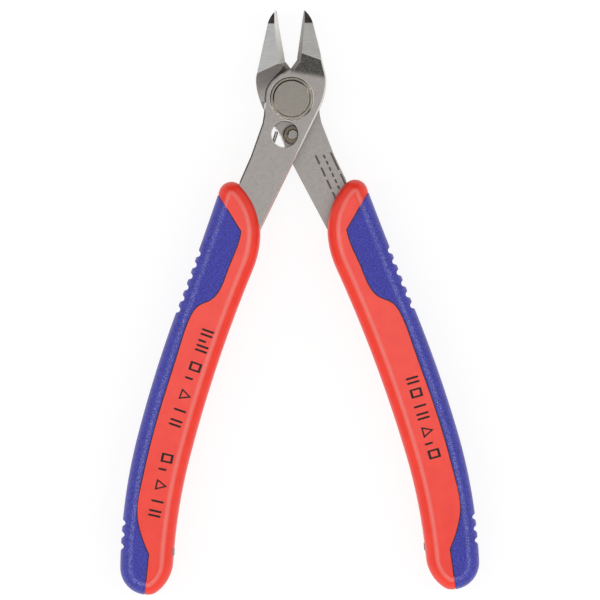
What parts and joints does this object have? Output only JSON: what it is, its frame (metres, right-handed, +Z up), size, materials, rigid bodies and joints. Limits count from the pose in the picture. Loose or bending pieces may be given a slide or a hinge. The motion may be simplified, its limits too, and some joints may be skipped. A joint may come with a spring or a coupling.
{
  "type": "flush cutter",
  "caption": "Small side cutter with flush-ground jaws on a riveted lap joint, sprung open against a stop pin in a window, with hard-cored grips that have a soft textured zone.",
  "frame": {"origin": "centre of the box's base: the tool lies flat on its back face on the plane Z = 0", "axes": "+Y points along the jaws, away from the grips; +Z points up out of the front face; +X is to the right seen from the front"},
  "size_m": [0.0766, 0.1244, 0.0104],
  "materials": {
    "lever_steel": "satin, ground at the jaws",
    "pivot_steel": "turned",
    "spring_wire": "drawn wire",
    "collar_bronze": "dark brown",
    "grip_core": "satin red",
    "grip_soft": "sandy blue"
  },
  "bodies": {
    "back_half": {"back_lever": "lever_steel", "pivot_bolt": "pivot_steel", "pivot_ring_front": "pivot_steel", "pivot_ring_back": "pivot_steel", "stop_pin": "pivot_steel", "stop_collar": "collar_bronze", "right_grip_core": "grip_core", "right_grip_soft_zone": "grip_soft"},
    "front_half": {"front_lever": "lever_steel", "left_grip_core": "grip_core", "left_grip_soft_zone": "grip_soft", "opening_spring": "spring_wire"}
  },
  "joints": [
    {"name": "jaw_pivot", "type": "hinge", "parent": "back_half", "child": "front_half", "pos_m": [0, 0.04315, 0.0052], "axis": [0, 0, 1], "range_deg": [0, 17.5], "stiffness_Nm_per_rad": 0.3, "springref_deg": -8.59, "deforming": ["opening_spring"]}
  ]
}
